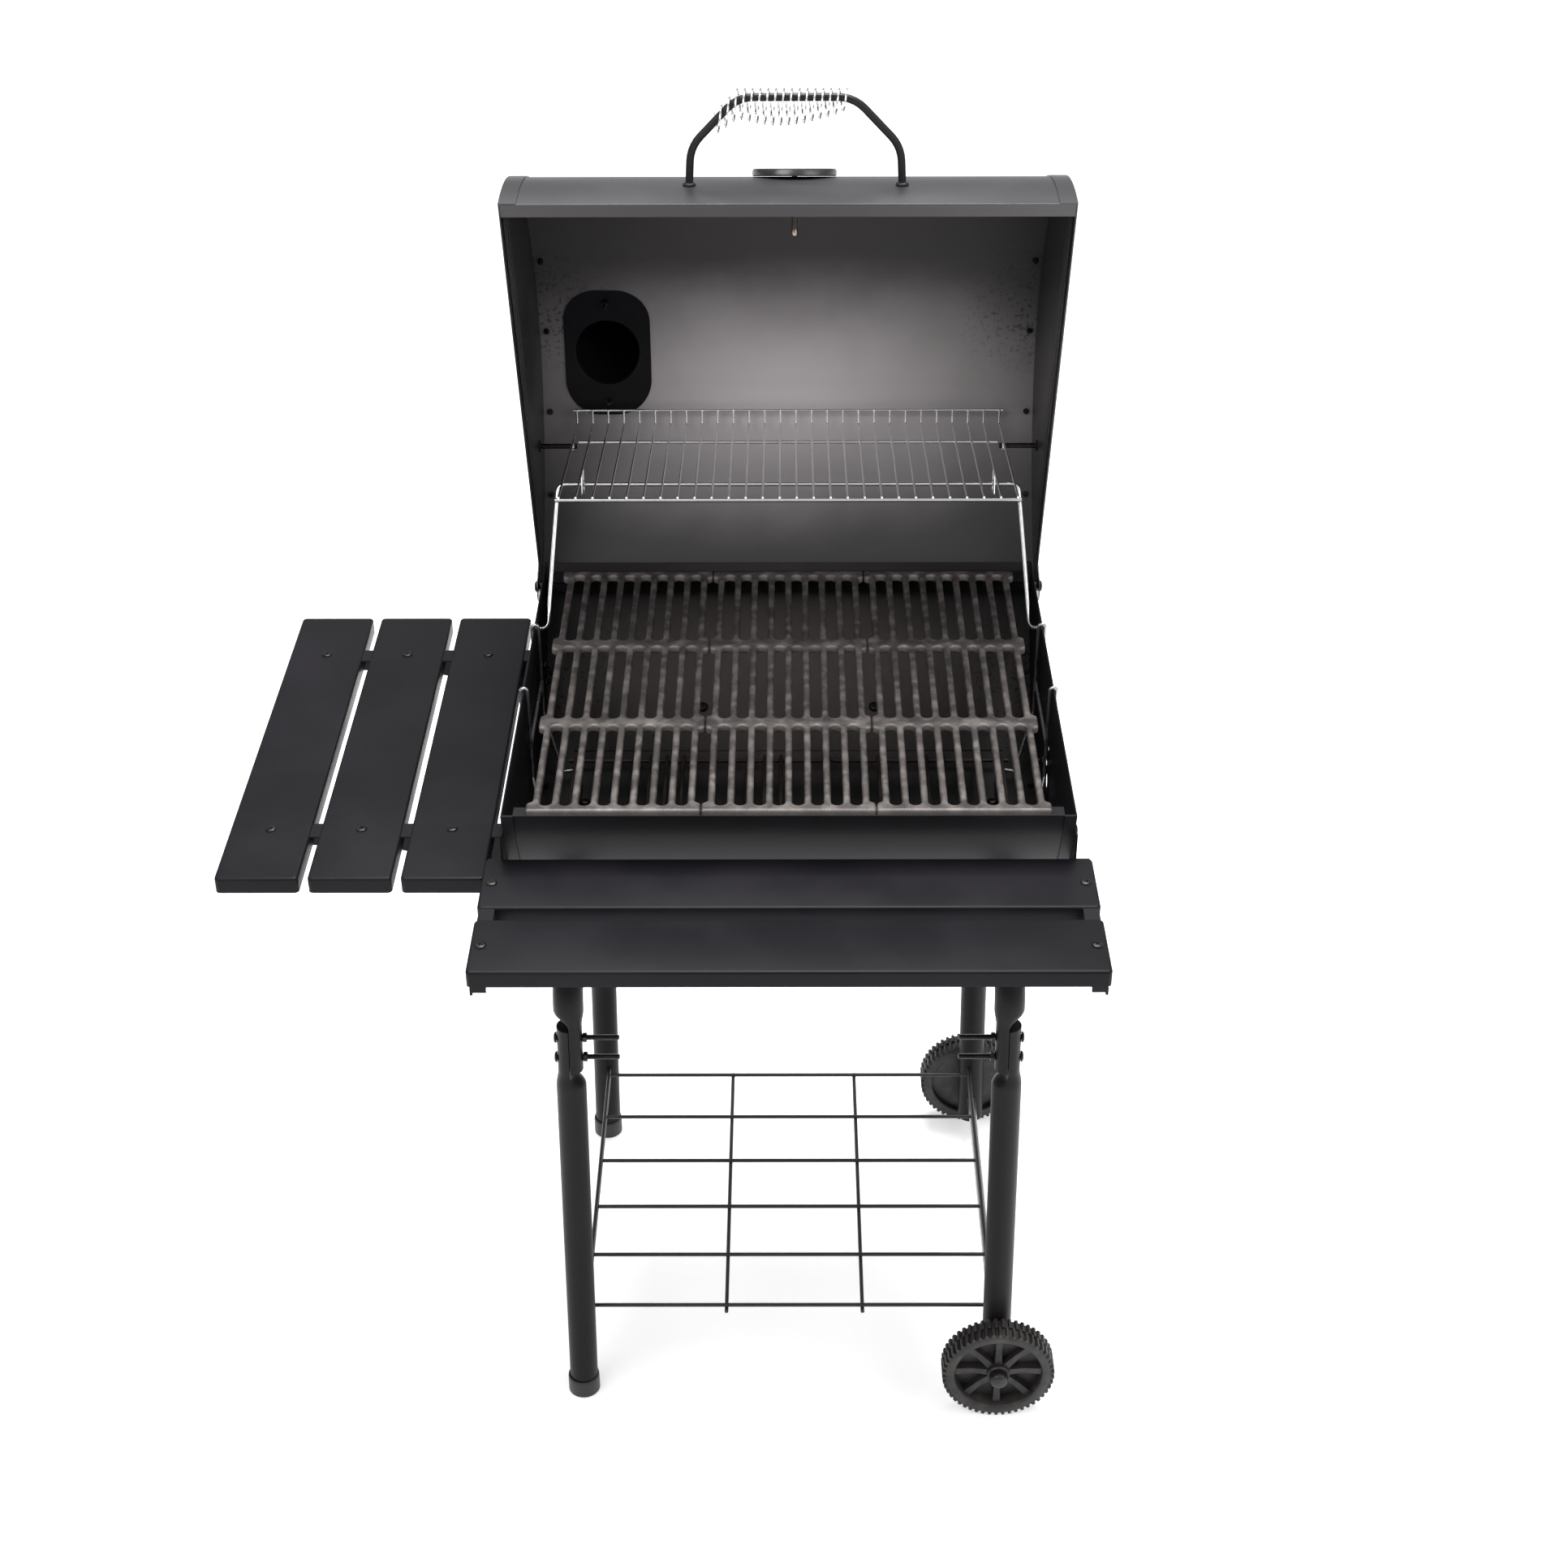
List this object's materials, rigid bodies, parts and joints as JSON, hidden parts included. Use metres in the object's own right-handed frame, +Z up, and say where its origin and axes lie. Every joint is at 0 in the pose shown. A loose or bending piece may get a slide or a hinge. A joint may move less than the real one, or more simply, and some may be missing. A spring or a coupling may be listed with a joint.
{
  "type": "barrel charcoal grill",
  "caption": "Barrel charcoal grill on a wheeled tube cart, with a hinged lid and chimney, cast-iron grates, a swinging warming rack, a front shelf and a side shelf.",
  "frame": {"origin": "centre of the whole object's bounding box, on the ground the feet and wheels stand on", "axes": "+X along the barrel towards the wheels, +Y from the front shelf to the back, +Z up; the lid is fully open at rest"},
  "size_m": [0.8666, 1.0808, 1.3993],
  "materials": {
    "lid_paint": "satin heat-proof paint",
    "firebox_paint": "satin heat-proof paint",
    "chimney_paint": "satin heat-proof paint",
    "shelf_paint": "satin powder coat",
    "bracket_paint": "satin powder coat",
    "tube_paint": "satin powder coat",
    "handle_paint": "satin powder coat",
    "cast_iron": "rough seasoned casting",
    "chrome_wire": "bright plated",
    "spring_chrome": "bright plated",
    "plated_wire": "dulled plating",
    "scorched_wire": "scorched steel",
    "black_wire": "satin powder coat",
    "wheel_plastic": "moulded, dusty",
    "cap_plastic": "moulded",
    "axle_steel": "drawn bar",
    "gauge_bezel": "satin",
    "gauge_glass": "clear",
    "gauge_dial": "enamel",
    "gauge_needle": "gloss",
    "gauge_brass": "heat-tinted",
    "black_screws": "black oxide"
  },
  "bodies": {
    "root": {"firebox_shell": "firebox_paint", "firebox_end_left": "firebox_paint", "firebox_end_right": "firebox_paint", "firebox_end_screws": "black_screws", "rear_wall_bolts": "black_screws", "grate_ledges": "firebox_paint", "shutter_screw": "black_screws", "cradle_left": "tube_paint", "cradle_right": "tube_paint", "cradle_bolts": "black_screws", "leg_front_left": "tube_paint", "leg_rear_left": "tube_paint", "leg_front_right": "tube_paint", "leg_rear_right": "tube_paint", "leg_joint_bolts": "black_screws", "foot_caps": "cap_plastic", "bottom_rack": "black_wire", "axle": "axle_steel", "hub_caps": "cap_plastic", "front_bracket_left": "bracket_paint", "front_bracket_right": "bracket_paint", "front_slat_inner": "shelf_paint", "front_slat_outer": "shelf_paint", "side_arm_front": "bracket_paint", "side_arm_rear": "bracket_paint", "side_slat_inner": "shelf_paint", "side_slat_middle": "shelf_paint", "side_slat_outer": "shelf_paint", "slat_screws": "black_screws", "shelf_bolts": "black_screws", "hinge_bolts": "black_screws"},
    "lid": {"lid_shell": "lid_paint", "lid_end_left": "lid_paint", "lid_end_right": "lid_paint", "lid_end_screws": "black_screws", "handle_rod": "handle_paint", "handle_spring": "spring_chrome", "handle_screws": "black_screws", "gauge_bezel": "gauge_bezel", "gauge_glass": "gauge_glass", "gauge_dial": "gauge_dial", "gauge_stem": "gauge_brass", "chimney_flange": "chimney_paint", "chimney_tube": "chimney_paint", "chimney_bolts": "black_screws", "cap_screw": "black_screws", "rack_pivot_rods": "black_screws"},
    "gauge_needle": {"gauge_needle": "gauge_needle"},
    "chimney_cap": {"chimney_cap": "chimney_paint"},
    "warming_rack": {"warming_rack": "chrome_wire"},
    "rack_frame": {"rack_frame": "chrome_wire"},
    "wheel_front": {"wheel_front": "wheel_plastic"},
    "wheel_rear": {"wheel_rear": "wheel_plastic"},
    "charcoal_tray": {"charcoal_grate": "scorched_wire", "tray_hanger_left": "plated_wire", "tray_hanger_right": "plated_wire"},
    "cooking_grate_left": {"cooking_grate_left": "cast_iron"},
    "cooking_grate_middle": {"cooking_grate_middle": "cast_iron"},
    "cooking_grate_right": {"cooking_grate_right": "cast_iron"},
    "air_shutter": {"air_shutter": "firebox_paint"}
  },
  "joints": [
    {"name": "lid_hinge", "type": "hinge", "parent": "root", "child": "lid", "pos_m": [0.13178, 0.16065, 0.798], "axis": [1, 0, 0], "range_deg": [0, 72]},
    {"name": "rack_swing", "type": "hinge", "parent": "lid", "child": "warming_rack", "pos_m": [0.13178, 0.23864, 0.939], "axis": [1, 0, 0], "range_deg": [-64.8, 0]},
    {"name": "frame_swing", "type": "hinge", "parent": "root", "child": "rack_frame", "pos_m": [0.13178, 0.06064, 0.798], "axis": [1, 0, 0], "range_deg": [0, 72]},
    {"name": "wheel_front_spin", "type": "hinge", "parent": "root", "child": "wheel_front", "pos_m": [0.36932, -0.35036, 0.064], "axis": [0, 1, 0], "continuous": true},
    {"name": "wheel_rear_spin", "type": "hinge", "parent": "root", "child": "wheel_rear", "pos_m": [0.36932, 0.16764, 0.064], "axis": [0, 1, 0], "continuous": true},
    {"name": "tray_lift", "type": "slide", "parent": "root", "child": "charcoal_tray", "axis": [0, 0, 1], "range_m": [0, 0.05]},
    {"name": "grate_left_lift", "type": "slide", "parent": "root", "child": "cooking_grate_left", "axis": [0, 0, 1], "range_m": [0, 0.04]},
    {"name": "grate_middle_lift", "type": "slide", "parent": "root", "child": "cooking_grate_middle", "axis": [0, 0, 1], "range_m": [0, 0.04]},
    {"name": "grate_right_lift", "type": "slide", "parent": "root", "child": "cooking_grate_right", "axis": [0, 0, 1], "range_m": [0, 0.04]},
    {"name": "shutter_turn", "type": "hinge", "parent": "root", "child": "air_shutter", "pos_m": [0.41378, -0.08636, 0.715], "axis": [1, 0, 0], "range_deg": [0, 45]},
    {"name": "cap_swing", "type": "hinge", "parent": "lid", "child": "chimney_cap", "pos_m": [-0.03172, 0.52471, 1.08061], "axis": [0, 0.9511, 0.309], "range_deg": [0, 100]},
    {"name": "needle_turn", "type": "hinge", "parent": "lid", "child": "gauge_needle", "pos_m": [0.13878, 0.14382, 1.29355], "axis": [0, -0.3206, -0.9472], "range_deg": [0, 270]}
  ],
  "couplings": [
    {"joint": "rack_swing", "follows": "lid_hinge", "ratio": -0.9},
    {"joint": "frame_swing", "follows": "lid_hinge", "ratio": 1}
  ]
}
